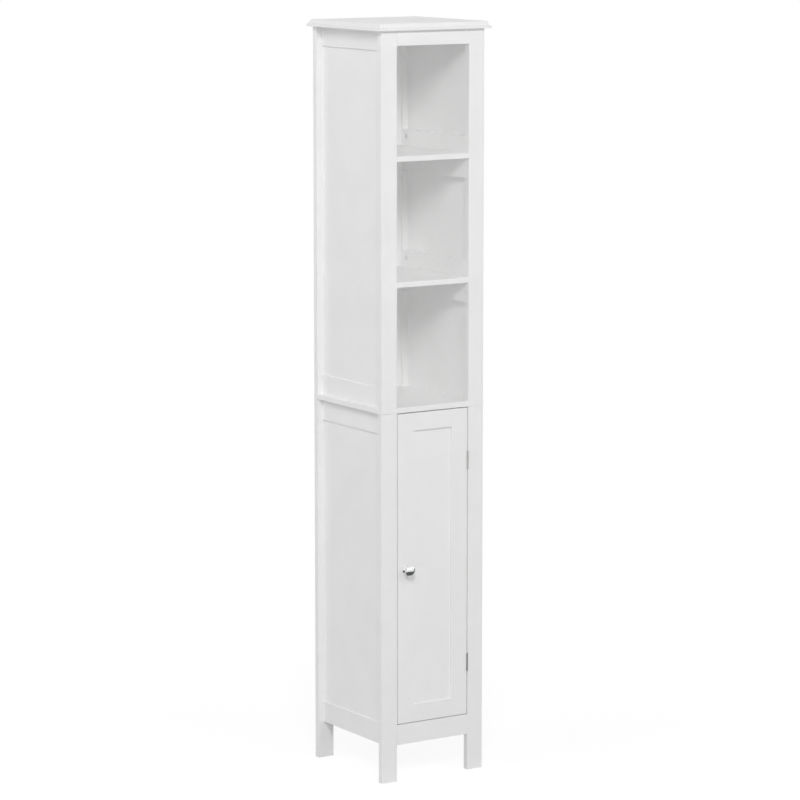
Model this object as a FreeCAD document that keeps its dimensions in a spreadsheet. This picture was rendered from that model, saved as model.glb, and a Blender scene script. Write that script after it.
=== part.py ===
# Tall bathroom cabinet: three open bays above a cupboard with one inset door.
#
# Millimetres. +Z is up, the front faces -Y, +X is to the viewer's right. The origin is on the
# floor, under the middle of the whole object's box.
#
# The carcass is two pairs of side frames. A frame has a front post, a rear post and two rails,
# whose stub tenons share one groove with a thin side panel. The cross rails are tenoned into
# the posts, the posts into the top, and dowels join the two halves through the mid board. The
# open bays' shelves are housed in deep rails, tenoned into the front posts and drawn onto the
# rear ones by cams. The door is a frame of two stiles and two rails round a sunk panel, on two
# butt hinges at its right-hand edge.

import FreeCAD, Part
import math
import os

import Sketcher

SHEET = "Sizes"
LEFT, RIGHT = -1, 1
HANDS = ((LEFT, "left"), (RIGHT, "right"))

SIZES = (
    # The whole carcass
    ("body_width", 270.0),
    ("body_depth", 288.0),
    ("total_height", 1700.0),
    ("leg_height", 84.0),
    ("split_height", 839.0),
    # Posts and the cross rails between them
    ("post_width", 40.0),
    ("frame_thickness", 15.0),
    ("head_rail_height", 33.0),
    ("plinth_rail_height", 46.0),
    ("post_tenon_width", 22.0),
    ("tenon_length", 8.0),
    ("tenon_thickness", 7.0),
    ("tenon_height", 14.0),
    ("tenon_shoulder", 8.0),
    ("eased_radius", 1.0),
    # Side frames
    ("side_rail_inset", 14.0),
    ("side_rail_thickness", 12.0),
    ("upper_side_rail_height", 44.0),
    ("lower_side_rail_height", 48.0),
    ("side_panel_thickness", 9.0),
    ("rabbet_depth", 6.0),
    ("groove_depth", 4.0),
    # Back panels
    ("back_panel_thickness", 5.0),
    ("back_panel_setback", 5.0),
    ("back_groove_depth", 3.5),
    # Boards
    ("mid_board_thickness", 12.0),
    ("mid_board_radius", 1.5),
    ("shelf_thickness", 12.0),
    ("shelf_setback", 1.0),
    ("shelf_edge_radius", 1.5),
    ("shelf_housing_depth", 5.0),
    ("upper_shelf_level", 1397.0),
    ("lower_shelf_level", 1119.0),
    ("shelf_rail_drop", 45.0),
    ("shelf_rail_rise", 36.5),
    ("floor_thickness", 12.0),
    ("cleat_size", 12.0),
    ("cleat_end_gap", 14.0),
    # Top board and its moulded edge
    ("top_thickness", 16.0),
    ("top_side_overhang", 12.5),
    ("top_front_overhang", 9.0),
    ("top_rear_overhang", 6.0),
    ("top_lip_height", 6.0),
    ("top_quirk", 1.0),
    ("top_moulding_width", 8.0),
    ("top_moulding_radius", 7.2),
    # Cupboard shelf
    ("cupboard_shelf_level", 478.0),
    ("cupboard_shelf_side_gap", 1.0),
    ("cupboard_shelf_end_gap", 4.0),
    # Door
    ("door_gap", 2.0),
    ("hinge_gap", 3.0),
    ("door_thickness", 15.0),
    ("door_stile_width", 42.0),
    ("door_rail_height", 40.0),
    ("door_panel_thickness", 6.0),
    ("door_panel_sink", 4.5),
    ("door_tongue", 8.0),
    # Butt hinges
    ("hinge_height", 41.0),
    ("hinge_end_distance", 120.0),
    ("hinge_axis_depth", 0.5),
    ("hinge_pin_diameter", 2.8),
    ("hinge_bore_clearance", 0.08),
    ("hinge_knuckle_diameter", 4.8),
    ("hinge_knuckle_gap", 0.3),
    ("leaf_thickness", 1.2),
    ("leaf_width", 12.5),
    ("leaf_notch_reach", 3.0),
    ("leaf_end_clearance", 0.3),
    # Knob
    ("knob_reach", 27.0),
    ("knob_head_diameter", 26.0),
    ("knob_rim_bevel", 1.2),
    ("knob_rim_start", 16.2),
    ("knob_rim_end", 21.5),
    ("knob_foot_diameter", 19.0),
    ("knob_foot_thickness", 1.5),
    ("knob_neck_diameter", 10.0),
    ("knob_neck_start", 6.5),
    ("knob_neck_end", 12.0),
    ("knob_screw_diameter", 4.0),
    ("knob_screw_grip", 8.0),
    ("knob_screw_head_diameter", 8.5),
    ("knob_screw_head_height", 2.6),
    ("knob_screw_head_bevel", 0.8),
    # Magnetic catch
    ("catch_length", 46.0),
    ("catch_block_length", 26.0),
    ("catch_depth", 14.0),
    ("catch_height", 12.0),
    ("catch_flange", 3.0),
    ("catch_end_radius", 4.0),
    ("catch_inset", 38.0),
    ("catch_gap", 0.3),
    ("magnet_length", 20.0),
    ("magnet_height", 5.0),
    ("magnet_proud", 0.8),
    ("strike_length", 34.0),
    ("strike_height", 7.0),
    ("strike_thickness", 1.2),
    # Fasteners
    ("dowel_diameter", 6.0),
    ("dowel_bore_depth", 12.0),
    ("cam_diameter", 12.0),
    ("cam_height", 10.0),
    ("cam_setback", 15.0),
    ("cam_bolt_depth", 6.5),
    ("cam_slot_reach", 2.6),
    ("cam_slot_clearance", 0.2),
    ("cam_recess_width", 1.6),
    ("cam_recess_length", 7.0),
    ("cam_recess_depth", 1.6),
    ("cam_shelf_rail_drop", 16.5),
    ("bolt_diameter", 5.0),
    ("bolt_thread_length", 10.0),
)


class Size:
    """A length that knows its value and the sheet expression that drives it."""

    def __init__(self, value, text):
        self.value = float(value)
        self.text = text

    def __add__(self, other):
        other = as_size(other)
        return Size(self.value + other.value, f"({self.text} + {other.text})")

    def __sub__(self, other):
        other = as_size(other)
        return Size(self.value - other.value, f"({self.text} - {other.text})")

    def __mul__(self, other):
        other = as_size(other)
        return Size(self.value * other.value, f"({self.text} * {other.text})")

    def __truediv__(self, other):
        other = as_size(other)
        return Size(self.value / other.value, f"({self.text} / {other.text})")

    def __neg__(self):
        return self * -1


def as_size(number):
    return number if isinstance(number, Size) else Size(number, f"({float(number)})")


doc = FreeCAD.newDocument("TallBathroomCabinet")
sheet = doc.addObject("Spreadsheet::Sheet", SHEET)
for row, (alias, number) in enumerate(SIZES, 1):
    sheet.set(f"A{row}", alias)
    sheet.set(f"B{row}", str(number))
    sheet.setAlias(f"B{row}", alias)
doc.recompute()


class Sizes:
    """Every cell of the sheet, by its alias."""


s = Sizes()
for alias, number in SIZES:
    setattr(s, alias, Size(number, f"{SHEET}.{alias}"))


# ---------------------------------------------------------------------------------------------
# Drawing tools
# ---------------------------------------------------------------------------------------------

# Normal axis: origin plane, the axis across it, the axis up it, and its normal's sign.
PLANES = {
    "x": ("YZ_Plane", "y", "z", 1),
    "y": ("XZ_Plane", "x", "z", -1),
    "z": ("XY_Plane", "x", "y", 1),
}
ZERO = as_size(0.0)
exported = {}
cuts = []


def bind(item, name, size):
    """Tie a property to the sheet."""
    item.setExpression(name, as_size(size).text)


def middle(span):
    return (span[0] + span[1]) / 2


def centred(place, length):
    return (place - length / 2, place + length / 2)


def on_side(side, inner, outer):
    """X span between two distances from the middle plane, on one side of it."""
    return (inner * side, outer * side) if side > 0 else (outer * side, inner * side)


def reach(start, sign, length):
    """Span that begins at a place and runs along an axis, up or down it."""
    return (start, start + length) if sign > 0 else (start - length, start)


def rectangle(across, up):
    """Corners of a rectangle from its two spans."""
    return [(across[0], up[0]), (across[1], up[0]), (across[1], up[1]), (across[0], up[1])]


def arc_between(start, end, radius, turn):
    """Short arc from start to end. A turn of 1 runs anticlockwise, -1 clockwise."""
    chord = end - start
    left = FreeCAD.Vector(-chord.y, chord.x, 0).normalize()
    rise = math.sqrt(max(radius ** 2 - chord.Length ** 2 / 4, 0.0))
    centre = (start + end) / 2 + left * (rise * turn)
    first, last = (start, end) if turn > 0 else (end, start)
    angles = [math.atan2(point.y - centre.y, point.x - centre.x) for point in (first, last)]
    circle = Part.Circle(centre, FreeCAD.Vector(0, 0, 1), radius)
    return Part.ArcOfCircle(circle, angles[0], angles[1])


class Piece:
    """A body that is drawn in the cabinet's coordinates, about an origin of its own."""

    def __init__(self, label, x=ZERO, y=ZERO, z=ZERO, export=True):
        self.label = label
        self.origin = {"x": as_size(x), "y": as_size(y), "z": as_size(z)}
        self.body = doc.addObject("PartDesign::Body", label)
        self.body.Label = label
        for axis, place in self.origin.items():
            bind(self.body, f"Placement.Base.{axis}", place)
        if export:
            exported[label] = (self.body, 1)

    def new(self, kind, name):
        return self.body.newObject(kind, f"{self.label}_{name}")

    def sketch(self, normal, level):
        """Empty sketch square to an axis, at a level along it."""
        role, _, _, sign = PLANES[normal]
        sketch = self.new("Sketcher::SketchObject", "sketch")
        plane = next(item for item in self.body.Origin.OriginFeatures if item.Role == role)
        sketch.AttachmentSupport = [(plane, "")]
        sketch.MapMode = "FlatFace"
        bind(sketch, "AttachmentOffset.Base.z", (level - self.origin[normal]) * sign)
        return sketch

    def constrain(self, sketch, kind, geometry, size):
        """Dimension of a sketch, tied to the sheet."""
        number = sketch.addConstraint(Sketcher.Constraint(kind, *geometry, size.value))
        bind(sketch, f"Constraints[{number}]", size)

    def outline(self, normal, level, points):
        """Closed outline through points. A point may add the radius and turn of an arc."""
        sketch = self.sketch(normal, level)
        _, across, up, _ = PLANES[normal]
        places = [(p[0] - self.origin[across], p[1] - self.origin[up]) for p in points]
        vectors = [FreeCAD.Vector(u.value, v.value, 0) for u, v in places]
        ends = []
        for index, point in enumerate(points):
            start, end = vectors[index], vectors[(index + 1) % len(points)]
            if len(point) == 4:
                sketch.addGeometry(arc_between(start, end, point[2].value, point[3]), False)
                ends.append((1, 2) if point[3] > 0 else (2, 1))
            else:
                sketch.addGeometry(Part.LineSegment(start, end), False)
                ends.append((1, 2))
        for index, (first, last) in enumerate(ends):
            following = (index + 1) % len(ends)
            sketch.addConstraint(
                Sketcher.Constraint("Coincident", index, last, following, ends[following][0]))
            u, v = places[index]
            self.constrain(sketch, "DistanceX", (-1, 1, index, first), u)
            self.constrain(sketch, "DistanceY", (-1, 1, index, first), v)
            if len(points[index]) == 4:
                self.constrain(sketch, "Radius", (index,), points[index][2])
        return sketch

    def circles(self, normal, level, centres, diameter):
        sketch = self.sketch(normal, level)
        _, across, up, _ = PLANES[normal]
        for index, (u, v) in enumerate(centres):
            u, v = u - self.origin[across], v - self.origin[up]
            centre = FreeCAD.Vector(u.value, v.value, 0)
            circle = Part.Circle(centre, FreeCAD.Vector(0, 0, 1), diameter.value / 2)
            sketch.addGeometry(circle, False)
            self.constrain(sketch, "DistanceX", (-1, 1, index, 3), u)
            self.constrain(sketch, "DistanceY", (-1, 1, index, 3), v)
            self.constrain(sketch, "Diameter", (index,), diameter)
        return sketch

    def extrude(self, sketch, span, cut):
        before = self.body.Tip
        feature = self.new("PartDesign::Pocket" if cut else "PartDesign::Pad", "feature")
        feature.Profile = sketch
        bind(feature, "Length", span[1] - span[0])
        if cut:
            cuts.append((before, feature))
        return feature

    def add(self, normal, span, points):
        """Raise an outline over a span of its normal axis."""
        level = span[0] if PLANES[normal][3] > 0 else span[1]
        return self.extrude(self.outline(normal, level, points), span, cut=False)

    def cut(self, normal, span, points):
        """Cut an outline away over a span of its normal axis."""
        level = span[1] if PLANES[normal][3] > 0 else span[0]
        return self.extrude(self.outline(normal, level, points), span, cut=True)

    def add_round(self, normal, span, centres, diameter):
        level = span[0] if PLANES[normal][3] > 0 else span[1]
        return self.extrude(self.circles(normal, level, centres, diameter), span, cut=False)

    def drill(self, normal, span, centres, diameter):
        """Round holes over a span of their axis."""
        level = span[1] if PLANES[normal][3] > 0 else span[0]
        return self.extrude(self.circles(normal, level, centres, diameter), span, cut=True)

    def turn(self, normal, points, axis):
        """Revolve an outline, drawn square to an axis, about one of the sketch's own axes."""
        sketch = self.outline(normal, self.origin[normal], points)
        feature = self.new("PartDesign::Revolution", "feature")
        feature.Profile = sketch
        feature.ReferenceAxis = (sketch, [axis])
        return feature

    def edges(self, keep):
        """Names of the edges of the shape so far that pass a test."""
        doc.recompute()
        shape = self.body.Tip.Shape
        return [f"Edge{n}" for n, edge in enumerate(shape.Edges, 1) if keep(edge)]

    def dress(self, kind, name, size, keep):
        """Fillet or chamfer on every edge that passes a test."""
        names = self.edges(keep)
        before = self.body.Tip
        feature = self.new(kind, "feature")
        feature.Base = (before, names)
        bind(feature, name, size)
        return feature

    def fillet(self, radius, keep):
        return self.dress("PartDesign::Fillet", "Radius", radius, keep)

    def bevel(self, size, keep):
        return self.dress("PartDesign::Chamfer", "Size", size, keep)


def runs_along(edge, axis):
    """True where an edge is straight and parallel to an axis."""
    return abs(getattr(edge.tangentAt(edge.FirstParameter), axis)) > 0.999


def group(label, members):
    """Separate copies of fasteners as one node. Each is a master, a place and a rotation."""
    links = []
    for master, place, rotation in members:
        link = doc.addObject("App::Link", f"{label}_{len(links) + 1}")
        link.LinkedObject = master.body
        link.Placement = FreeCAD.Placement(FreeCAD.Vector(0, 0, 0), rotation)
        for axis, size in zip("xyz", place):
            bind(link, f"Placement.Base.{axis}", size)
        links.append(link)
    compound = doc.addObject("Part::Compound", label)
    compound.Label = label
    compound.Links = links
    exported[label] = (compound, len(links))


# ---------------------------------------------------------------------------------------------
# Places that several pieces share
# ---------------------------------------------------------------------------------------------

half_width = s.body_width / 2
opening = half_width - s.post_width
front = (s.knob_reach - s.top_rear_overhang - s.body_depth) / 2
back = front + s.body_depth
front_post = (front, front + s.frame_thickness)
rear_post = (back - s.frame_thickness, back)
between_posts = (front_post[1], rear_post[0])
opening_span = (-opening, opening)

top_underside = s.total_height - s.top_thickness
mid_board_span = (s.split_height, s.split_height + s.mid_board_thickness)
upper_span = (mid_board_span[1], top_underside)
head_rail = (top_underside - s.head_rail_height, top_underside)
plinth_rail = (s.leg_height, s.leg_height + s.plinth_rail_height)
floor_span = (plinth_rail[1] - s.floor_thickness, plinth_rail[1])

side_face = half_width - s.side_rail_inset
side_inner = side_face - s.side_rail_thickness
side_panel_outer = side_inner + s.side_panel_thickness
back_panel_span = (rear_post[0] + s.back_panel_setback,
                   rear_post[0] + s.back_panel_setback + s.back_panel_thickness)
back_groove = opening + s.back_groove_depth
shelf_end = opening + s.shelf_housing_depth

door_x = (s.door_gap - opening, opening - s.hinge_gap)
door_y = (front, front + s.door_thickness)
door_z = (plinth_rail[1] + s.door_gap, s.split_height - s.door_gap)
hinge_x = opening - s.hinge_gap / 2
hinge_y = front + s.hinge_axis_depth
hinge_levels = (door_z[0] + s.hinge_end_distance, door_z[1] - s.hinge_end_distance)
leaf_outer = s.hinge_gap / 2 + s.leaf_thickness
leaf_end = hinge_y + s.leaf_width


# ---------------------------------------------------------------------------------------------
# Fasteners and the joints that they make
# ---------------------------------------------------------------------------------------------

def make_dowel():
    """Round wooden pin, centred on its own origin, along Z."""
    half = s.mid_board_thickness / 2 + s.dowel_bore_depth
    dowel = Piece("dowel", export=False)
    dowel.add_round("z", (-half, half), [(ZERO, ZERO)], s.dowel_diameter)
    return dowel


def make_cam():
    """Cam lock along Z: a drum with its face at zero, a driver's slot and a bolt's slot."""
    cam = Piece("cam", export=False)
    radius = s.cam_diameter / 2
    cam.add_round("z", (-s.cam_height, ZERO), [(ZERO, ZERO)], s.cam_diameter)
    slot = s.bolt_diameter / 2 + s.cam_slot_clearance
    cam.cut("y", (-slot, slot), rectangle(
        (-radius, s.cam_slot_reach), (-s.cam_bolt_depth - slot, slot - s.cam_bolt_depth)))
    arm, thick = s.cam_recess_length / 2, s.cam_recess_width / 2
    cam.cut("z", (-s.cam_recess_depth, ZERO), rectangle((-thick, thick), (-arm, arm)))
    return cam


def make_bolt():
    """Cam bolt along Z: thread below zero, and a shank that ends inside the cam's slot."""
    bolt = Piece("bolt", export=False)
    end = s.cam_setback + s.cam_slot_reach - s.cam_slot_clearance
    bolt.add_round("z", (-s.bolt_thread_length, end), [(ZERO, ZERO)], s.bolt_diameter)
    return bolt


dowel = make_dowel()
cam = make_cam()
bolt = make_bolt()
dowels, cams, bolts = [], [], []


def unit(axis, sign=1):
    return FreeCAD.Vector(*[sign if name == axis else 0 for name in "xyz"])


def turned(z_axis, x_axis=None):
    """Rotation that lays an object's Z, and its X where given, along two directions."""
    if x_axis is None:
        return FreeCAD.Rotation(FreeCAD.Vector(0, 0, 1), z_axis)
    return FreeCAD.Rotation(x_axis, FreeCAD.Vector(), z_axis, "ZXY")


def moved(place, axis, distance):
    """The same place, moved along one axis."""
    return tuple(size + distance if name == axis else size for name, size in zip("xyz", place))


def flat(place, axis):
    """A place as it is seen in a sketch square to an axis."""
    named = dict(zip("xyz", place))
    _, across, up, _ = PLANES[axis]
    return named[across], named[up]


def level_of(place, axis):
    return dict(zip("xyz", place))[axis]


def cam_joint(rail, neighbour, place, along, face):
    """Cam and bolt that draw the end of a rail onto its neighbour.

    The place is where the bolt crosses the joint. The two directions are a name and a sign:
    along points from there into the rail, face points out of the cam's visible face.
    """
    name, sign = along
    level = level_of(place, name)
    rail.drill(name, reach(level, sign, s.cam_setback), [flat(place, name)], s.bolt_diameter)
    neighbour.drill(name, reach(level, -sign, s.bolt_thread_length), [flat(place, name)],
                    s.bolt_diameter)
    centre = moved(place, name, s.cam_setback * sign)
    seat = moved(centre, face[0], s.cam_bolt_depth * face[1])
    rail.drill(face[0], reach(level_of(seat, face[0]), -face[1], s.cam_height),
               [flat(centre, face[0])], s.cam_diameter)
    cams.append((cam, seat, turned(unit(*face), unit(name, sign))))
    bolts.append((bolt, place, turned(unit(name, sign))))


# ---------------------------------------------------------------------------------------------
# Side frames
# ---------------------------------------------------------------------------------------------

def make_post(label, side, depth, span, groove_span):
    """Post with eased long edges and the groove for the side rails and panel."""
    x = on_side(side, opening, half_width)
    post = Piece(label, x[0], depth[0], span[0])
    post.add("z", span, rectangle(x, depth))
    post.fillet(s.eased_radius, lambda edge: runs_along(edge, "z"))
    at_back = depth is front_post
    inner_face = depth[1] if at_back else depth[0]
    groove = reach(inner_face, -1 if at_back else 1, s.groove_depth)
    post.cut("y", groove, rectangle(on_side(side, side_inner, side_panel_outer), groove_span))
    return post


def make_side_rail(label, side, z, panel_edge):
    """Side rail: stub tenons at its ends and a rabbet for the panel on one long edge."""
    tenons = (between_posts[0] - s.groove_depth, between_posts[1] + s.groove_depth)
    x = on_side(side, side_inner, side_face)
    rail = Piece(label, x[0], tenons[0], z[0])
    rail.add("y", tenons, rectangle(x, z))
    panel_x = on_side(side, side_inner, side_panel_outer)
    at_top = panel_edge > 0
    rabbet = reach(z[1] if at_top else z[0], -panel_edge, s.rabbet_depth)
    rail.cut("y", tenons, rectangle(panel_x, rabbet))
    lip_x = on_side(side, side_panel_outer, side_face)
    rail.cut("x", lip_x, rectangle((tenons[0], between_posts[0]), z))
    rail.cut("x", lip_x, rectangle((between_posts[1], tenons[1]), z))
    return rail


def make_side_panel(label, side, z):
    """Thin panel whose edges lie in the posts' grooves and the rails' rabbets."""
    grooves = (between_posts[0] - s.groove_depth, between_posts[1] + s.groove_depth)
    x = on_side(side, side_inner, side_panel_outer)
    panel = Piece(label, x[0], grooves[0], z[0])
    panel.add("x", x, rectangle(grooves, z))
    return panel


def make_frame(level, hand, side, span, rail_height, post_foot):
    """One side frame: two posts, two rails and a panel, by their short names."""
    top = (span[1] - rail_height, span[1])
    bottom = (span[0], span[0] + rail_height)
    panel_z = (bottom[1] - s.rabbet_depth, top[0] + s.rabbet_depth)
    post_span = (post_foot, span[1])
    return {
        "front_post": make_post(f"{level}_front_post_{hand}", side, front_post, post_span, span),
        "rear_post": make_post(f"{level}_rear_post_{hand}", side, rear_post, post_span, span),
        "top_rail": make_side_rail(f"{level}_side_top_rail_{hand}", side, top, LEFT),
        "bottom_rail": make_side_rail(f"{level}_side_bottom_rail_{hand}", side, bottom, RIGHT),
        "panel": make_side_panel(f"{level}_side_panel_{hand}", side, panel_z),
    }


upper = {}
lower = {}
for side, hand in HANDS:
    upper[side] = make_frame("upper", hand, side, upper_span,
                             s.upper_side_rail_height, upper_span[0])
    lower[side] = make_frame("lower", hand, side, (s.leg_height, s.split_height),
                             s.lower_side_rail_height, ZERO)


# ---------------------------------------------------------------------------------------------
# Cross rails and back panels
# ---------------------------------------------------------------------------------------------

def make_cross_rail(label, depth, z, post, frames):
    """Rail between the two side frames, with a stub tenon in each post's edge."""
    rail = Piece(label, -opening, depth[0], z[0])
    rail.add("x", opening_span, rectangle(depth, z))
    tenon_y = centred(middle(depth), s.tenon_thickness)
    tenon_z = reach(z[0] + s.tenon_shoulder, 1, s.tenon_height)
    for side, _ in HANDS:
        tenon_x = on_side(side, opening, opening + s.tenon_length)
        rail.add("x", tenon_x, rectangle(tenon_y, tenon_z))
        frames[side][post].cut("x", tenon_x, rectangle(tenon_y, tenon_z))
    return rail


def make_back_panel(label, z, frames, rail):
    """Back panel in grooves of the two rear posts and of one edge of a rear rail."""
    panel = Piece(label, -back_groove, back_panel_span[0], z[0])
    panel.add("y", back_panel_span, rectangle((-back_groove, back_groove), z))
    for side, _ in HANDS:
        groove_x = on_side(side, opening, back_groove)
        frames[side]["rear_post"].cut("z", z, rectangle(groove_x, back_panel_span))
    rail.cut("x", opening_span, rectangle(back_panel_span, z))
    return panel


make_cross_rail("upper_front_rail", front_post, head_rail, "front_post", upper)
upper_rear_rail = make_cross_rail("upper_rear_rail", rear_post, head_rail, "rear_post", upper)
make_cross_rail("lower_front_rail", front_post, plinth_rail, "front_post", lower)
lower_rear_rail = make_cross_rail("lower_rear_rail", rear_post, plinth_rail, "rear_post", lower)
make_back_panel("upper_back_panel", (upper_span[0], head_rail[0] + s.back_groove_depth), upper,
                upper_rear_rail)
make_back_panel("lower_back_panel", (plinth_rail[1] - s.back_groove_depth, s.split_height),
                lower, lower_rear_rail)


# ---------------------------------------------------------------------------------------------
# Boards
# ---------------------------------------------------------------------------------------------

def make_top():
    """Top board, with the same moulding run round all four edges and mitred at the corners."""
    x = (-half_width - s.top_side_overhang, half_width + s.top_side_overhang)
    y = (front - s.top_front_overhang, back + s.top_rear_overhang)
    z = (top_underside, s.total_height)
    top = Piece("top_panel", ZERO, ZERO, z[0])
    top.add("z", z, rectangle(x, y))
    path = top.outline("z", z[1], rectangle(x, y))
    # Cut section at the right-hand edge: above the lip, a quirk, then a hollow and a round.
    lip = z[0] + s.top_lip_height
    foot = x[1] - s.top_quirk
    head = x[1] - s.top_moulding_width
    half = ((foot + head) / 2, (lip + z[1]) / 2)
    radius = s.top_moulding_radius
    clear = x[1] + s.top_quirk
    section = top.outline("y", ZERO, [
        (clear, lip), (clear, z[1]), (head, z[1], radius, -1),
        (half[0], half[1], radius, 1), (foot, lip)])
    doc.recompute()
    before = top.body.Tip
    moulding = top.new("PartDesign::SubtractivePipe", "moulding")
    moulding.Profile = section
    moulding.Spine = (path, ["Edge1", "Edge2", "Edge3", "Edge4"])
    moulding.Transition = "Right corner"
    cuts.append((before, moulding))
    return top


def make_mid_board():
    """Board between the two units, as wide and deep as the posts, with all edges eased."""
    board = Piece("mid_board", -half_width, front, mid_board_span[0])
    board.add("z", mid_board_span, rectangle((-half_width, half_width), (front, back)))
    board.fillet(s.mid_board_radius, lambda edge: not runs_along(edge, "z"))
    return board


def make_shelf(label, z):
    """Fixed shelf: its ends are housed in the shelf rails, and its front edges are eased."""
    y = (front + s.shelf_setback, back_panel_span[0])
    shelf = Piece(label, -opening, y[0], z[0])
    shelf.add("z", z, rectangle(opening_span, y))
    shelf.fillet(s.shelf_edge_radius,
                 lambda edge: runs_along(edge, "x") and abs(edge.CenterOfMass.y) < 0.01)
    shelf.add("z", z, rectangle((-shelf_end, shelf_end), between_posts))
    return shelf


def make_shelf_rail(label, side, shelf_z):
    """Deep rail that carries one end of a fixed shelf, against the inside of the side panel."""
    x = on_side(side, opening, side_inner)
    z = (shelf_z[0] - s.shelf_rail_drop, shelf_z[1] + s.shelf_rail_rise)
    rail = Piece(label, x[0], between_posts[0], z[0])
    rail.add("y", between_posts, rectangle(x, z))
    rail.cut("y", between_posts, rectangle(on_side(side, opening, shelf_end), shelf_z))
    tenon = rectangle(centred(middle(x), s.tenon_thickness),
                      (z[0] + s.tenon_shoulder, z[1] - s.tenon_shoulder))
    tenon_y = (between_posts[0] - s.tenon_length, between_posts[0])
    rail.add("y", tenon_y, tenon)
    upper[side]["front_post"].cut("y", tenon_y, tenon)
    place = ((opening + s.cam_bolt_depth) * side, between_posts[1], z[1] - s.cam_shelf_rail_drop)
    cam_joint(rail, upper[side]["rear_post"], place, ("y", -1), ("x", -side))
    return rail


top_panel = make_top()
mid_board = make_mid_board()
for name, level in (("upper", s.upper_shelf_level), ("lower", s.lower_shelf_level)):
    shelf_z = (level, level + s.shelf_thickness)
    make_shelf(f"{name}_shelf", shelf_z)
    for side, hand in HANDS:
        make_shelf_rail(f"{name}_shelf_rail_{hand}", side, shelf_z)

floor_width = (-side_inner, side_inner)
cupboard_floor = Piece("cupboard_floor", -side_inner, between_posts[0], floor_span[0])
cupboard_floor.add("z", floor_span, rectangle(floor_width, between_posts))


# ---------------------------------------------------------------------------------------------
# Joints of the carcass
# ---------------------------------------------------------------------------------------------

# Stub tenons on the upper posts' heads, in mortises in the top board. Dowels through the mid
# board, from the lower posts into the upper ones.
post_centre = half_width - s.post_width / 2
for side, _ in HANDS:
    tenon_x = centred(post_centre * side, s.post_tenon_width)
    tenon_z = (top_underside, top_underside + s.tenon_length)
    for post, depth in (("front_post", front_post), ("rear_post", rear_post)):
        tenon = rectangle(tenon_x, centred(middle(depth), s.tenon_thickness))
        upper[side][post].add("z", tenon_z, tenon)
        top_panel.cut("z", tenon_z, tenon)
        centre = (post_centre * side, middle(depth))
        mid_board.drill("z", mid_board_span, [centre], s.dowel_diameter)
        upper[side][post].drill("z", reach(mid_board_span[1], 1, s.dowel_bore_depth), [centre],
                                s.dowel_diameter)
        lower[side][post].drill("z", reach(mid_board_span[0], -1, s.dowel_bore_depth), [centre],
                                s.dowel_diameter)
        dowels.append((dowel, (*centre, middle(mid_board_span)), turned(unit("z"))))

# Cupboard shelf, and the cleats along the sides that carry it and the cupboard floor.
shelf_x = (s.cupboard_shelf_side_gap - side_inner, side_inner - s.cupboard_shelf_side_gap)
shelf_y = (between_posts[0] + s.cupboard_shelf_end_gap,
           between_posts[1] - s.cupboard_shelf_end_gap)
shelf_z = (s.cupboard_shelf_level, s.cupboard_shelf_level + s.shelf_thickness)
cupboard_shelf = Piece("cupboard_shelf", shelf_x[0], shelf_y[0], shelf_z[0])
cupboard_shelf.add("z", shelf_z, rectangle(shelf_x, shelf_y))
cupboard_shelf.fillet(s.shelf_edge_radius, lambda edge: runs_along(edge, "x"))

cleat_y = (between_posts[0] + s.cleat_end_gap, between_posts[1] - s.cleat_end_gap)
for name, board_z in (("floor", floor_span), ("shelf", shelf_z)):
    cleat_z = (board_z[0] - s.cleat_size, board_z[0])
    for side, hand in HANDS:
        cleat_x = on_side(side, side_inner - s.cleat_size, side_inner)
        cleat = Piece(f"{name}_cleat_{hand}", cleat_x[0], cleat_y[0], cleat_z[0])
        cleat.add("y", cleat_y, rectangle(cleat_x, cleat_z))


# ---------------------------------------------------------------------------------------------
# Door
# ---------------------------------------------------------------------------------------------

stile_inner = (door_x[0] + s.door_stile_width, door_x[1] - s.door_stile_width)
rail_inner = (door_z[0] + s.door_rail_height, door_z[1] - s.door_rail_height)
sunk = (door_y[0] + s.door_panel_sink, door_y[0] + s.door_panel_sink + s.door_panel_thickness)
tongues_x = (stile_inner[0] - s.door_tongue, stile_inner[1] + s.door_tongue)
tongues_z = (rail_inner[0] - s.door_tongue, rail_inner[1] + s.door_tongue)


def make_stile(label, x, groove_x):
    """Upright of the door, with a groove along its inner edge for the rails and the panel."""
    stile = Piece(label, x[0], door_y[0], door_z[0])
    stile.add("z", door_z, rectangle(x, door_y))
    stile.cut("z", door_z, rectangle(groove_x, sunk))
    return stile


def make_door_rail(label, z, groove_z):
    """Cross rail of the door: tongues at both ends and a groove along one edge."""
    rail = Piece(label, tongues_x[0], door_y[0], z[0])
    rail.add("x", stile_inner, rectangle(door_y, z))
    rail.add("x", tongues_x, rectangle(sunk, z))
    rail.cut("x", tongues_x, rectangle(sunk, groove_z))
    return rail


lock_stile = make_stile("door_lock_stile", (door_x[0], stile_inner[0]),
                        (tongues_x[0], stile_inner[0]))
hinge_stile = make_stile("door_hinge_stile", (stile_inner[1], door_x[1]),
                         (stile_inner[1], tongues_x[1]))
make_door_rail("door_top_rail", (rail_inner[1], door_z[1]),
               (rail_inner[1], tongues_z[1]))
make_door_rail("door_bottom_rail", (door_z[0], rail_inner[0]), (tongues_z[0], rail_inner[0]))
door_panel = Piece("door_panel", tongues_x[0], sunk[0], tongues_z[0])
door_panel.add("y", sunk, rectangle(tongues_x, tongues_z))


# ---------------------------------------------------------------------------------------------
# Hinges
# ---------------------------------------------------------------------------------------------

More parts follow.
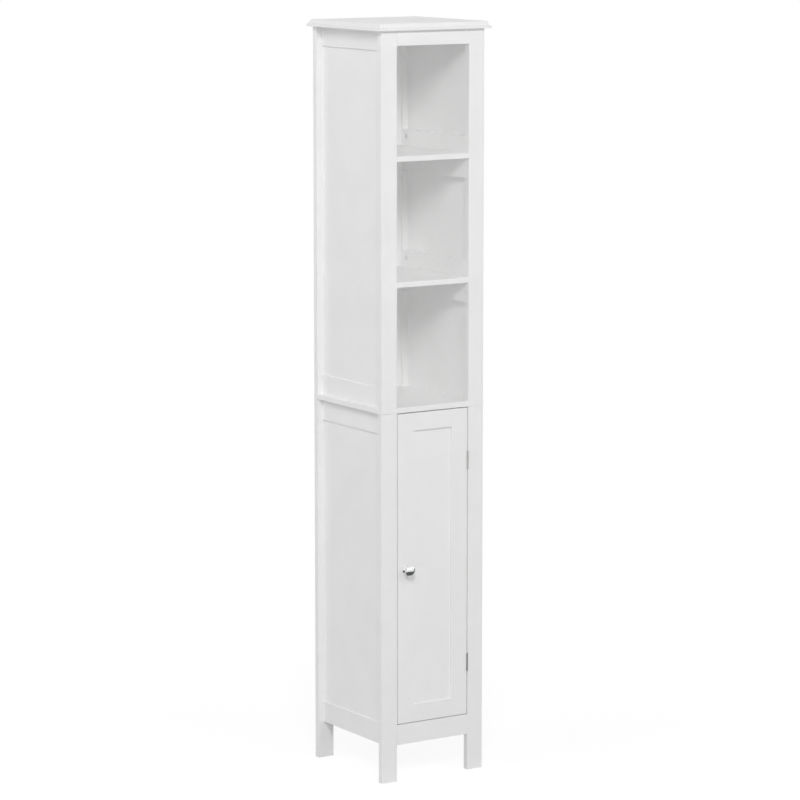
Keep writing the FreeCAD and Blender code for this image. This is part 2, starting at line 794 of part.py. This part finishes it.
def make_leaf(label, side, level, notches, bore):
    """Leaf of a butt hinge: a plate with rolled knuckles, cleared for the other leaf's."""
    z = (level - s.hinge_height / 2, level + s.hinge_height / 2)
    leaf = Piece(label, hinge_x, hinge_y, z[0])
    plate_x = on_side(side, s.hinge_gap / 2, leaf_outer)
    plate_x = (hinge_x + plate_x[0], hinge_x + plate_x[1])
    leaf.add("z", z, rectangle(plate_x, (hinge_y, leaf_end)))
    leaf.add_round("z", z, [(hinge_x, hinge_y)], s.hinge_knuckle_diameter)
    around = rectangle((hinge_x - leaf_outer, hinge_x + leaf_outer),
                       (hinge_y - leaf_outer, hinge_y + s.leaf_notch_reach))
    for low, high in notches(z):
        leaf.cut("z", (low, high), around)
    leaf.drill("z", z, [(hinge_x, hinge_y)], bore)
    return leaf


def middle_notch(z):
    """Gap that the frame leaf leaves for the door leaf's knuckle."""
    third = s.hinge_height / 3
    slack = s.hinge_knuckle_gap / 2
    return [(z[0] + third - slack, z[1] - third + slack)]


def end_notches(z):
    """Gaps that the door leaf leaves for the frame leaf's two knuckles."""
    third = s.hinge_height / 3
    slack = s.hinge_knuckle_gap / 2
    return [(z[0], z[0] + third + slack), (z[1] - third - slack, z[1])]


hinge_pin = Piece("hinge_pin", export=False)
hinge_pin.add_round("z", (-s.hinge_height / 2, s.hinge_height / 2), [(ZERO, ZERO)],
                    s.hinge_pin_diameter)
hinge_pins = []
door_bore = s.hinge_pin_diameter + s.hinge_bore_clearance * 2
for name, level in zip(("lower", "upper"), hinge_levels):
    gain_z = (level - s.hinge_height / 2 - s.leaf_end_clearance,
              level + s.hinge_height / 2 + s.leaf_end_clearance)
    gain_y = (front, leaf_end)
    lower[RIGHT]["front_post"].cut(
        "z", gain_z, rectangle((opening, hinge_x + leaf_outer), gain_y))
    hinge_stile.cut("z", gain_z, rectangle((hinge_x - leaf_outer, door_x[1]), gain_y))
    make_leaf(f"{name}_hinge_frame_leaf", RIGHT, level, middle_notch, s.hinge_pin_diameter)
    make_leaf(f"{name}_hinge_door_leaf", LEFT, level, end_notches, door_bore)
    hinge_pins.append((hinge_pin, (hinge_x, hinge_y, level), turned(unit("z"))))


# ---------------------------------------------------------------------------------------------
# Knob and its screw
# ---------------------------------------------------------------------------------------------

knob_x = middle((door_x[0], stile_inner[0]))
knob_z = middle(door_z)
knob_screw_span = (door_y[0] - s.knob_screw_grip, door_y[1])


def coved(run, rise):
    """Radius of an arc that leaves one line along it and has moved over by run after rise."""
    return (run * run + rise * rise) / (run * 2)


def make_knob():
    """Turned knob, revolved about the way it points: foot, waist and mushroom head."""
    knob = Piece("knob", knob_x, door_y[0], knob_z)
    foot, neck = s.knob_foot_diameter / 2, s.knob_neck_diameter / 2
    head = s.knob_head_diameter / 2
    rim = head - s.knob_rim_bevel
    dome = coved(s.knob_reach - s.knob_rim_end, rim)

    def at(radius, distance, *arc):
        return (knob_x + radius, door_y[0] - distance, *arc)

    knob.turn("z", [
        at(ZERO, ZERO), at(ZERO, s.knob_reach, dome, 1), at(rim, s.knob_rim_end),
        at(head, s.knob_rim_end - s.knob_rim_bevel),
        at(head, s.knob_rim_start + s.knob_rim_bevel),
        at(rim, s.knob_rim_start), at(neck, s.knob_neck_end),
        at(neck, s.knob_neck_start), at(foot, s.knob_foot_thickness),
        at(foot, ZERO)], "V_Axis")
    knob.drill("y", (door_y[0] - s.knob_screw_grip, door_y[0]), [(knob_x, knob_z)],
               s.knob_screw_diameter)
    return knob


make_knob()
lock_stile.drill("y", door_y, [(knob_x, knob_z)], s.knob_screw_diameter)
knob_screw = Piece("knob_screw", knob_x, door_y[1], knob_z)
knob_screw.add_round("y", knob_screw_span, [(knob_x, knob_z)], s.knob_screw_diameter)
knob_screw.add_round("y", (door_y[1], door_y[1] + s.knob_screw_head_height),
                     [(knob_x, knob_z)], s.knob_screw_head_diameter)
head_face = s.knob_screw_head_height.value
knob_screw.bevel(s.knob_screw_head_bevel,
                 lambda edge: edge.Closed and abs(edge.CenterOfMass.y - head_face) < 0.01)


# ---------------------------------------------------------------------------------------------
# Magnetic catch under the mid board, and its strike plate on the door
# ---------------------------------------------------------------------------------------------

catch_x = door_x[0] + s.catch_inset
strike_y = (door_y[1], door_y[1] + s.strike_thickness)
magnet_y = (strike_y[1] + s.catch_gap, strike_y[1] + s.catch_gap + s.magnet_proud)
catch_y = (magnet_y[1], magnet_y[1] + s.catch_depth)
catch_z = (s.split_height - s.catch_height, s.split_height)
catch_mid = middle(catch_z)


housing = Piece("catch_housing", catch_x, catch_y[0], catch_z[0])
flange_z = (catch_z[1] - s.catch_flange, catch_z[1])
housing.add("z", flange_z, rectangle(centred(catch_x, s.catch_length), catch_y))
housing.fillet(s.catch_end_radius, lambda edge: runs_along(edge, "z"))
housing.add("z", catch_z, rectangle(centred(catch_x, s.catch_block_length), catch_y))
magnet_x = centred(catch_x, s.magnet_length)
magnet_z = centred(catch_mid, s.magnet_height)
magnet_seat = (catch_y[0], catch_y[1] - s.catch_flange)
housing.cut("y", magnet_seat, rectangle(magnet_x, magnet_z))

magnet = Piece("catch_magnet", catch_x, magnet_y[0], magnet_z[0])
magnet.add("y", (magnet_y[0], magnet_seat[1]), rectangle(magnet_x, magnet_z))

strike = Piece("strike_plate", catch_x, strike_y[0], catch_mid)
strike_z = (catch_mid - s.strike_height / 2, catch_mid + s.strike_height / 2)
strike.add("y", strike_y, rectangle(centred(catch_x, s.strike_length), strike_z))
strike.fillet(s.eased_radius, lambda edge: runs_along(edge, "y"))

group("dowels", dowels)
group("cam_locks", cams)
group("cam_bolts", bolts)
group("hinge_pins", hinge_pins)


# ---------------------------------------------------------------------------------------------
# Checks and export
# ---------------------------------------------------------------------------------------------

def check(item, label, solids):
    """Stop where a sub-part is missing, broken or in the wrong number of solids."""
    shape = item.Shape
    if shape.isNull() or not shape.isValid():
        raise RuntimeError(f"{label}: no valid shape")
    if len(shape.Solids) != solids:
        raise RuntimeError(f"{label}: {len(shape.Solids)} solids in place of {solids}")


doc.recompute()
failed = [item.Label for item in doc.Objects if {"Invalid", "Error"} & set(item.State)]
if failed:
    raise RuntimeError(f"failed objects: {failed}")
for before, after in cuts:
    if after.Shape.Volume > before.Shape.Volume - 1e-3:
        raise RuntimeError(f"{after.Label} removes nothing")
for label, (item, solids) in exported.items():
    check(item, label, solids)

os.makedirs("parts", exist_ok=True)
for label, (item, _) in exported.items():
    item.Shape.exportStep(os.path.join("parts", f"{label}.step"))
print(f"{len(exported)} sub-parts written")
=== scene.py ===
"""Looks of the tall bathroom cabinet: paint, metal, plastic, wood, small screws, light, camera."""
import math

import bmesh
import bpy
from mathutils import Matrix, Vector


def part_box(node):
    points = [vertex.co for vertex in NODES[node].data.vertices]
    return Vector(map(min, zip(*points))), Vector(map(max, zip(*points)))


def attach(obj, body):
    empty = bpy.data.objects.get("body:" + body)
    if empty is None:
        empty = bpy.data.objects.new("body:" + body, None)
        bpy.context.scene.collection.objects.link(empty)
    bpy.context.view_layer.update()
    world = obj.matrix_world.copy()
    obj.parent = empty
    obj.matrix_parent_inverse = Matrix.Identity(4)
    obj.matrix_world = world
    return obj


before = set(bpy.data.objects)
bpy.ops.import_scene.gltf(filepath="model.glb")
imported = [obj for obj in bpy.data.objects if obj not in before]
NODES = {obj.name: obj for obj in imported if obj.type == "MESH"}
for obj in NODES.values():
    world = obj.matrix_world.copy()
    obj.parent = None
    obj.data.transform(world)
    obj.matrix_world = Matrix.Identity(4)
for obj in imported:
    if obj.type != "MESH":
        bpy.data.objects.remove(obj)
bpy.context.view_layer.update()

MM = 0.001
WHITE = (1, 1, 1, 1)


def new_object(name, data):
    """An object made of data, linked to the scene."""
    made = bpy.data.objects.new(name, data)
    bpy.context.scene.collection.objects.link(made)
    return made


def new_sheet(name, corners):
    """An object that is one flat face with four corners."""
    mesh = bpy.data.meshes.new(name)
    mesh.from_pydata(corners, [], [(0, 1, 2, 3)])
    return new_object(name, mesh)


# ---------------------------------------------------------------- shader building

def grey(value, warmth=0.0):
    """Linear colour of an sRGB grey from 0 to 255; warmth shifts it towards yellow."""
    def linear(level):
        level /= 255.0
        return level / 12.92 if level <= 0.04045 else ((level + 0.055) / 1.055) ** 2.4
    return (linear(value + warmth), linear(value), linear(value - warmth), 1.0)


def along(axis, across, lengthwise):
    """Texture scale for streaks along an axis: a large number across them, a small one along."""
    scale = [across, across, across]
    scale["xyz".index(axis)] = lengthwise
    return scale


class Shading:
    """A node tree and the steps that build it. Each value is a number, a colour or a socket."""

    def __init__(self, tree):
        self.tree = tree

    def add(self, kind, **settings):
        node = self.tree.nodes.new(kind)
        for key, value in settings.items():
            setattr(node, key, value)
        return node

    def feed(self, sockets, values):
        """Gives each input socket its value, through a link where that is another socket."""
        for socket, value in zip(sockets, values):
            if isinstance(value, bpy.types.NodeSocket):
                self.tree.links.new(value, socket)
            else:
                socket.default_value = value

    def set(self, node, values):
        """Gives a node's inputs, by name, their values."""
        self.feed([node.inputs[name] for name in values], values.values())

    def maths(self, operation, first, second):
        node = self.add("ShaderNodeMath", operation=operation)
        self.feed(node.inputs, (first, second))
        return node.outputs[0]

    def spread(self, source, low, high, start=0.3, end=0.7, **settings):
        """source from start..end mapped onto low..high."""
        node = self.add("ShaderNodeMapRange", **settings)
        self.set(node, {"Value": source, "From Min": start, "From Max": end,
                        "To Min": low, "To Max": high})
        return node.outputs["Result"]

    def blend(self, share, first, second):
        """Colour that goes from first to second as share goes from 0 to 1."""
        node = self.add("ShaderNodeMix", data_type="RGBA")
        self.feed((node.inputs[0], node.inputs[6], node.inputs[7]), (share, first, second))
        return node.outputs[2]


class Finish(Shading):
    """One procedural material round a Principled shader, in the frame's own coordinates."""

    def __init__(self, name, constants):
        """constants are set on the shader's own sockets, by name."""
        self.material = bpy.data.materials.new(name)
        self.material.use_nodes = True
        super().__init__(self.material.node_tree)
        self.shader = self.tree.nodes["Principled BSDF"]
        self.set(self.shader, constants)
        self.place = self.add("ShaderNodeTexCoord").outputs["Object"]

    def noise(self, scale, detail=2.0, roughness=0.5, distortion=0.0):
        """Cloudy noise, 0 to 1. scale is in features a metre, one number or one for each axis."""
        place = self.place
        if isinstance(scale, list):
            mapping = self.add("ShaderNodeMapping")
            self.set(mapping, {"Scale": scale, "Vector": place})
            place, scale = mapping.outputs["Vector"], 1.0
        node = self.add("ShaderNodeTexNoise")
        self.set(node, {"Scale": scale, "Detail": detail, "Roughness": roughness,
                        "Distortion": distortion, "Vector": place})
        return node.outputs["Fac"]

    def cells(self, scale):
        """Distance from scattered points, scale of them a metre."""
        node = self.add("ShaderNodeTexVoronoi")
        self.set(node, {"Scale": scale, "Vector": self.place})
        return node.outputs["Distance"]

    def eased(self, radius):
        """The normal where sharp edges are eased by radius, and how far it turns there, 0 to 1."""
        bevel = self.add("ShaderNodeBevel", samples=BEVEL_SAMPLES)
        self.set(bevel, {"Radius": radius})
        normal = bevel.outputs["Normal"]
        turn = self.add("ShaderNodeVectorMath", operation="DOT_PRODUCT")
        self.feed(turn.inputs, (normal, self.add("ShaderNodeNewGeometry").outputs["Normal"]))
        return normal, self.spread(turn.outputs["Value"], 1.0, 0.0, 0.75, 0.995)

    def bump(self, *layers, normal=None):
        """Stacks (height, depth in metres) layers onto the shader's normal."""
        for height, depth in layers:
            node = self.add("ShaderNodeBump")
            self.set(node, {"Distance": depth, "Height": height})
            if normal is not None:
                self.set(node, {"Normal": normal})
            normal = node.outputs["Normal"]
        self.set(self.shader, {"Normal": normal})

    def colour(self, value):
        self.set(self.shader, {"Base Color": value})

    def rough(self, value):
        self.set(self.shader, {"Roughness": value})


# ---------------------------------------------------------------- materials

BEVEL_SAMPLES = 6
PAINT_EASING = 0.7 * MM           # radius that sprayed paint gives a sharp edge
EDGE_PAINT = grey(240, 0.4)       # where the paint has drawn thin or is rubbed on an edge
# lighter than the outside paint: painted light that brightens the shaded bays, on the inside pieces
# and the back board
BAY_PAINT_LIGHTENED = (grey(251), grey(248, 0.1))


def painted(name, axis, light, dark, sheen):
    """Sprayed satin paint: clouding, orange peel, sanding lines along the piece, rubbed edges."""
    finish = Finish(name, {"Specular IOR Level": 0.28, "Coat Weight": 0.06, "Coat Roughness": 0.22})
    cloud = finish.noise(11.0, detail=4.0, roughness=0.55, distortion=0.3)
    lines = finish.noise(along(axis, 420.0, 14.0), detail=3.0, roughness=0.6)
    peel = finish.noise(620.0, detail=3.0, roughness=0.55)
    dust = finish.cells(310.0)
    eased, edge = finish.eased(PAINT_EASING)
    rubbed = finish.maths("MULTIPLY", edge, finish.spread(finish.noise(24.0), 0.0, 0.5))
    base = finish.blend(finish.spread(cloud, 0.0, 1.0, 0.35, 0.65), light, dark)
    streaked = finish.blend(finish.spread(lines, 0.0, 0.35, 0.35, 0.7), base, dark)
    dusted = finish.blend(finish.spread(dust, 0.30, 0.0, 0.02, 0.10), streaked, dark)
    finish.colour(finish.blend(rubbed, dusted, EDGE_PAINT))
    smoother = finish.maths("MULTIPLY", edge, 0.08)
    grain = finish.maths("SUBTRACT", finish.spread(peel, -0.04, 0.04), smoother)
    finish.rough(finish.maths("ADD", finish.spread(cloud, *sheen), grain))
    finish.bump((peel, 0.045 * MM), (lines, 0.034 * MM), normal=eased)
    return finish.material


def laminated(name, light, dark, sheen):
    """Thin white hardboard: a fine pressed mesh under a dull white film."""
    finish = Finish(name, {"Specular IOR Level": 0.40})
    cloud = finish.noise(7.0, detail=3.0)
    weave = finish.maths("MULTIPLY", finish.noise([900.0, 60.0, 60.0]),
                         finish.noise([60.0, 60.0, 900.0]))
    finish.colour(finish.blend(finish.spread(cloud, 0.0, 1.0), light, dark))
    finish.rough(finish.spread(weave, *sheen, 0.15, 0.35))
    finish.bump((weave, 0.05 * MM))
    return finish.material


def plated(name, light, dark, sheen, haze, scratches, depth):
    """Bright or dull metal: slight haze, and scratches of that scale and depth in metres."""
    finish = Finish(name, {"Metallic": 1.0})
    clouding = finish.noise(haze, detail=4.0, roughness=0.6, distortion=0.4)
    scratch = finish.noise(scratches, detail=4.0, roughness=0.65)
    finish.colour(finish.blend(finish.spread(clouding, 0.0, 1.0), light, dark))
    finish.rough(finish.maths("ADD", finish.spread(clouding, *sheen),
                              finish.spread(scratch, 0.0, (sheen[1] - sheen[0]) * 0.7)))
    finish.bump((scratch, depth))
    return finish.material


def beechwood(name, light, dark, fleck, sheen):
    """Pale wood with straight grain and short darker flecks along Z."""
    finish = Finish(name, {})
    grain = finish.noise(along("z", 700.0, 45.0), detail=5.0, roughness=0.6, distortion=0.5)
    flecks = finish.noise(along("z", 1500.0, 260.0))
    base = finish.blend(finish.spread(grain, 0.0, 1.0), light, dark)
    finish.colour(finish.blend(finish.spread(flecks, 0.0, 0.5, 0.58, 0.72), base, fleck))
    finish.rough(finish.spread(grain, *sheen))
    finish.bump((grain, 0.06 * MM))
    return finish.material


def moulded(name, light, dark, sheen):
    """Moulded plastic with a fine eroded texture and faint flow marks."""
    finish = Finish(name, {})
    pits = finish.noise(2200.0, detail=3.0, roughness=0.6)
    flow = finish.noise(60.0, distortion=0.8)
    finish.colour(finish.blend(finish.spread(flow, 0.0, 1.0), light, dark))
    finish.rough(finish.spread(pits, *sheen))
    finish.bump((pits, 0.02 * MM))
    return finish.material


# sheen is the shader's roughness, from its smoothest places to its dullest
PAINT = {axis: painted(f"white_paint_{axis}", axis, grey(249), grey(246, 0.2), sheen=(0.34, 0.46))
         for axis in "xyz"}
# painted light: the inside paint and the back board take the lighter colours so that the bays look
# lit
INSIDE_LIGHTENED = painted("white_paint_inside", "y", *BAY_PAINT_LIGHTENED, sheen=(0.42, 0.55))
BACK = laminated("white_back_board", *BAY_PAINT_LIGHTENED, sheen=(0.46, 0.60))
CHROME = plated("polished_chrome", (0.83, 0.83, 0.84, 1), (0.76, 0.77, 0.78, 1),
                sheen=(0.045, 0.10), haze=90.0, scratches=along("z", 900.0, 900.0),
                depth=0.006 * MM)
NICKEL = plated("satin_nickel", (0.63, 0.625, 0.61, 1), (0.54, 0.535, 0.52, 1),
                sheen=(0.24, 0.40), haze=160.0, scratches=along("z", 1500.0, 90.0),
                depth=0.010 * MM)
ZINC = plated("zinc_plate", (0.66, 0.67, 0.69, 1), (0.52, 0.53, 0.55, 1),
              sheen=(0.30, 0.46), haze=300.0, scratches=along("z", 1400.0, 220.0),
              depth=0.016 * MM)
DIE_CAST = plated("die_cast_zinc", (0.90, 0.90, 0.91, 1), (0.80, 0.80, 0.82, 1),
                  sheen=(0.34, 0.52), haze=420.0, scratches=along("z", 1400.0, 1400.0),
                  depth=0.030 * MM)
BEECH = beechwood("beech", (0.62, 0.40, 0.22, 1), (0.43, 0.25, 0.12, 1),
                  fleck=(0.24, 0.12, 0.05, 1), sheen=(0.48, 0.68))
PLASTIC = moulded("white_plastic", grey(236, 0.5), grey(229, 1.5), sheen=(0.42, 0.56))
MAGNET = moulded("dark_magnet", (0.035, 0.035, 0.038, 1), (0.060, 0.058, 0.056, 1),
                 sheen=(0.5, 0.7))

SLOT_FINISH = {
    "white_paint_inside": INSIDE_LIGHTENED,
    "back_board": BACK,
    "chrome": CHROME,
    "hinge_steel": NICKEL,
    "zinc": ZINC,
    "beech": BEECH,
    "catch_plastic": PLASTIC,
    "magnet": MAGNET,
}


def long_axis(node):
    low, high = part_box(node)
    span = high - low
    return "xyz"[max(range(3), key=lambda index: span[index])]


# the cam locks share the zinc slot, but are cast; paint outside follows each piece's length
for name, node in NODES.items():
    for material_slot in node.material_slots:
        key = material_slot.material.name.split(".")[0]
        finish = SLOT_FINISH.get(key) or PAINT[long_axis(name)]
        material_slot.material = DIE_CAST if name.startswith("cam_lock") else finish


# ---------------------------------------------------------------- small screws

SCREW_ARM = 0.60                  # cross recess arm, as a share of the head's radius
SCREW_WEB = 0.17                  # half the arm's width, as a share of the head's radius
QUADRANT = (-30.0, -16.0, 0.0, 16.0, 30.0, 45.0)     # outline points, in degrees from an arm
SMOOTH_BELOW = math.radians(40.0)                    # edges that turn by more stay sharp


def cross_reach(angle, arm, web):
    """Distance from the centre to a cross outline at an angle in degrees from the nearest arm."""
    turn = math.radians(abs(angle))
    return min(arm / math.cos(turn), web / max(math.sin(turn), 1e-6))


def make_screw(name, body, place, outward, size, finish):
    """Countersunk screw with a cross recess; place is on the surface, outward points out of it.

    size is the head's radius, how far the head stands proud, and the length below the surface.
    """
    radius, rise, length = size
    arm, web = radius * SCREW_ARM, radius * SCREW_WEB
    around = [(quarter * 90.0 + step, step) for quarter in range(4) for step in QUADRANT]
    # each ring is (whether it follows the cross, its radius or its share of the cross, height)
    rings = [
        (False, radius * 0.10, -length),
        (False, radius * 0.42, -length + radius * 1.6),
        (False, radius * 0.42, -radius * 0.62),
        (False, radius * 0.96, -0.05 * radius),
        (False, radius, rise * 0.20),
        (False, radius * 0.94, rise * 0.62),
        (False, radius * 0.78, rise * 0.92),
        (True, 1.0, rise),
        (True, 0.90, rise * 0.55),
        (True, 0.55, rise * 0.12),
    ]
    mesh = bmesh.new()
    levels = []
    for cross, share, height in rings:
        ring = []
        for angle, step in around:
            reach = share * cross_reach(step, arm, web) if cross else share
            turn = math.radians(angle)
            ring.append(mesh.verts.new((reach * math.cos(turn), reach * math.sin(turn), height)))
        levels.append(ring)
    count = len(around)
    for lower, upper in zip(levels, levels[1:]):
        for index in range(count):
            after = (index + 1) % count
            mesh.faces.new((lower[index], lower[after], upper[after], upper[index]))
    tip = mesh.verts.new((0.0, 0.0, -length - radius * 0.2))
    pit = mesh.verts.new((0.0, 0.0, rise * 0.05))
    for index in range(count):
        after = (index + 1) % count
        mesh.faces.new((levels[0][after], levels[0][index], tip))
        mesh.faces.new((levels[-1][index], levels[-1][after], pit))
    for face in mesh.faces:
        face.smooth = len(face.verts) == 4
    data = bpy.data.meshes.new(name)
    mesh.to_mesh(data)
    mesh.free()
    data.set_sharp_from_angle(angle=SMOOTH_BELOW)
    data.materials.append(finish)
    piece = new_object(name, data)
    piece.matrix_world = (Matrix.Translation(place)
                          @ outward.to_track_quat("Z", "Y").to_matrix().to_4x4())
    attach(piece, body)


LEAF_SCREW = (2.6 * MM, 0.45 * MM, 9.0 * MM)
LEAF_SCREW_SPREAD = 12.5 * MM     # from the middle of a leaf to each screw
LEAF_SCREW_INSET = 5.5 * MM       # from a leaf's inner edge
door_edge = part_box("door_hinge_stile")[1].x
post_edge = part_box("lower_front_post_right")[0].x
for level in ("lower", "upper"):
    for side, body, face, outward in (("door", "door", door_edge, Vector((1, 0, 0))),
                                      ("frame", "carcass", post_edge, Vector((-1, 0, 0)))):
        low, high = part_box(f"{level}_hinge_{side}_leaf")
        for end, step in (("low", -1), ("high", 1)):
            place = Vector((face, high.y - LEAF_SCREW_INSET,
                            (low.z + high.z) / 2 + step * LEAF_SCREW_SPREAD))
            make_screw(f"{level}_hinge_{side}_screw_{end}", body, place, outward,
                       LEAF_SCREW, NICKEL)

CATCH_SCREW = (2.8 * MM, 0.6 * MM, 10.0 * MM)
CATCH_SCREW_INSET = 5.0 * MM      # from each end of the catch's flange
CATCH_FLANGE = 3.0 * MM           # its thickness; the heads sit on its lower side
low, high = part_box("catch_housing")
for end, place_x in (("left", low.x + CATCH_SCREW_INSET), ("right", high.x - CATCH_SCREW_INSET)):
    make_screw(f"catch_screw_{end}", "carcass",
               Vector((place_x, (low.y + high.y) / 2, high.z - CATCH_FLANGE)),
               Vector((0, 0, -1)), CATCH_SCREW, ZINC)

STRIKE_SCREW = (2.4 * MM, 0.35 * MM, 8.0 * MM)
low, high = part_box("strike_plate")
make_screw("strike_screw", "door",
           Vector(((low.x + high.x) / 2, high.y, (low.z + high.z) / 2)),
           Vector((0, 1, 0)), STRIKE_SCREW, ZINC)


# ---------------------------------------------------------------- background and floor

def lit_backdrop(shading, surface, glow, share=1.0):
    """Shader that is surface to lamps and pale surfaces, and glow to camera, gloss and glass.

    share is how much of the glow they see, and the rest is surface.
    """
    rays = shading.add("ShaderNodeLightPath").outputs
    seen = shading.maths("MAXIMUM", rays["Is Glossy Ray"], rays["Is Transmission Ray"])
    seen = shading.maths("MAXIMUM", rays["Is Camera Ray"], seen)
    mix = shading.add("ShaderNodeMixShader")
    shading.feed(mix.inputs, (shading.maths("MULTIPLY", seen, share), surface, glow))
    return mix.outputs[0]


AMBIENT = (0.56, 0.22)            # soft light from all round, at the horizon and straight above
world = bpy.data.worlds.new("studio")
bpy.context.scene.world = world
world.use_nodes = True
sky = Shading(world.node_tree)
sky.tree.nodes.clear()
direction = sky.add("ShaderNodeSeparateXYZ")
sky.feed(direction.inputs, [sky.add("ShaderNodeTexCoord").outputs["Generated"]])
ambient = sky.add("ShaderNodeBackground")
sky.set(ambient, {"Color": WHITE,
                  "Strength": sky.spread(direction.outputs["Z"], *AMBIENT, 0.0, 1.0)})
bright = sky.add("ShaderNodeBackground")
sky.set(bright, {"Color": WHITE, "Strength": 1.0})
sky.set(sky.add("ShaderNodeOutputWorld"),
        {"Surface": lit_backdrop(sky, ambient.outputs[0], bright.outputs[0])})

FLOOR_HALF = 14.0
FLOOR_GREY = (0.70, 0.70, 0.70, 1)
FLOOR_GLOW = 0.70                 # near the object; the rest of its look takes the shadow
FLOOR_LIFT = 1.22                 # strength that brings the two together to white there
FLOOR_FADE = (0.3, 2.4)           # distances from the middle between which the glow grows to 1
floor = new_sheet("floor", [(-FLOOR_HALF, -FLOOR_HALF, 0), (FLOOR_HALF, -FLOOR_HALF, 0),
                            (FLOOR_HALF, FLOOR_HALF, 0), (-FLOOR_HALF, FLOOR_HALF, 0)])
floor_finish = bpy.data.materials.new("pale_floor")
floor_finish.use_nodes = True
ground = Shading(floor_finish.node_tree)
ground.tree.nodes.clear()
matt = ground.add("ShaderNodeBsdfDiffuse")
ground.set(matt, {"Color": FLOOR_GREY})
reach = ground.add("ShaderNodeVectorMath", operation="LENGTH")
ground.feed(reach.inputs, [ground.add("ShaderNodeTexCoord").outputs["Object"]])
share = ground.spread(reach.outputs["Value"], FLOOR_GLOW, 1.0, *FLOOR_FADE,
                      interpolation_type="SMOOTHSTEP")
glow = ground.add("ShaderNodeEmission")
ground.set(glow, {"Strength": ground.spread(share, FLOOR_LIFT, 1.0, FLOOR_GLOW, 1.0)})
ground.set(ground.add("ShaderNodeOutputMaterial"),
           {"Surface": lit_backdrop(ground, matt.outputs[0], glow.outputs[0], share)})
floor.data.materials.append(floor_finish)


# ---------------------------------------------------------------- lamps, and dark cards that paint reflections

AIM = Vector((0.0, 0.0, 0.9))


def studio_lamp(name, azimuth, elevation, distance, size, power):
    """A large soft lamp aimed at the object; azimuth 0 is in front of it, 90 on the -X side."""
    turn, rise = math.radians(azimuth), math.radians(elevation)
    way = Vector((-math.sin(turn) * math.cos(rise), -math.cos(turn) * math.cos(rise),
                  math.sin(rise)))
    data = bpy.data.lights.new(name, "AREA")
    data.size, data.energy = size, power
    lamp = new_object(name, data)
    lamp.location = AIM + way * distance
    lamp.rotation_euler = (-way).to_track_quat("-Z", "Y").to_euler()


# azimuth and elevation in degrees, distance and size in metres, power in watts
studio_lamp("key", 31.0, 31.0, 8.0, 2.2, 224.0)
studio_lamp("second", -17.0, 33.0, 8.0, 3.0, 72.0)
studio_lamp("side", 94.0, 34.0, 5.0, 2.2, 39.0)
studio_lamp("right", -78.0, 18.0, 8.0, 3.0, 52.0)
studio_lamp("rear", 168.0, 10.0, 8.0, 3.0, 40.0)


def painted_reflection_card(name, corners):
    """A dull dark card that only glossy surfaces see: a painted dark reflection, hidden from the
    camera, from diffuse light and from shadow, so that chrome reads as chrome.
    """
    finish = Finish(name, {"Roughness": 0.9, "Specular IOR Level": 0.1})
    finish.colour(finish.blend(finish.spread(finish.noise(3.0), 0.0, 1.0),
                               (0.085, 0.095, 0.088, 1), (0.20, 0.215, 0.20, 1)))
    card = new_sheet(name, corners)
    card.data.materials.append(finish.material)
    card.visible_camera = card.visible_diffuse = False
    card.visible_shadow = card.visible_transmission = False


# painted dark reflections: one card on the floor in front and one standing to the right, seen only
# in gloss
painted_reflection_card("floor_reflection_card", [(-1.3, -0.19, 0.004), (2.2, -0.19, 0.004),
                         (2.2, -2.8, 0.004), (-1.3, -2.8, 0.004)])
painted_reflection_card("side_reflection_card", [(2.0, -0.75, 0.0), (2.0, 0.10, 0.0), (2.0, 0.10, 1.1), (2.0, -0.75, 1.1)])


# ---------------------------------------------------------------- camera and view

CAMERA_PLACE = Vector((-4.1109, -6.3978, 2.0262))
CAMERA_YAW = 32.712               # degrees from +Y towards +X
CAMERA_TILT = 8.832               # degrees below the horizon
CAMERA_LENS = 153.0               # mm, on a sensor 36 mm wide
MOST_BOUNCES = 24                 # white bays need many bounces to fill with light
DIFFUSE_BOUNCES = 16

camera_data = bpy.data.cameras.new("camera")
camera_data.lens = CAMERA_LENS
camera_data.sensor_width = 36.0
camera_data.clip_start, camera_data.clip_end = 0.1, 100.0
camera = new_object("camera", camera_data)
camera.location = CAMERA_PLACE
camera.rotation_euler = (math.radians(90.0 - CAMERA_TILT), 0.0, math.radians(-CAMERA_YAW))
bpy.context.scene.camera = camera
bpy.context.scene.view_settings.view_transform = "Standard"
bpy.context.scene.cycles.max_bounces = MOST_BOUNCES
bpy.context.scene.cycles.diffuse_bounces = DIFFUSE_BOUNCES
